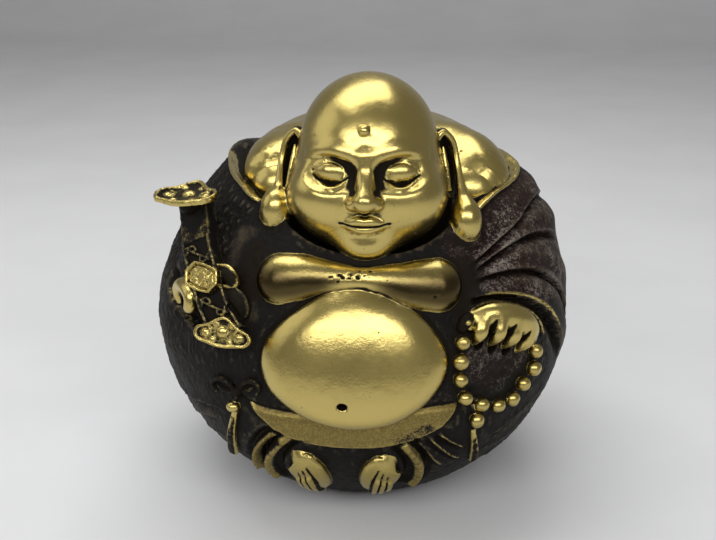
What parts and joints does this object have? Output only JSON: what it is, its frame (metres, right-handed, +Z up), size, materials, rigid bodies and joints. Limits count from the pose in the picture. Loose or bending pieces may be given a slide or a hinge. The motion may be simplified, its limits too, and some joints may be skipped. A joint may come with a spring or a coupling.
{
  "type": "budai figure",
  "caption": "Ball-shaped seated figure of cast brass with polished belly and dark robe, holding a sceptre and prayer beads; stands on a flat underside.",
  "frame": {"origin": "centre of the flat underside that the figure stands on", "axes": "+Z up, -Y the way the figure faces, +X towards the figure's left hand"},
  "size_m": [0.1256, 0.1284, 0.1305],
  "materials": {
    "cast_brass": "polished gold-coloured brass on the skin, beads and hems; dark brown to black patina on the robe and in the recesses"
  },
  "bodies": {
    "root": {"figure": "cast_brass"}
  },
  "joints": []
}
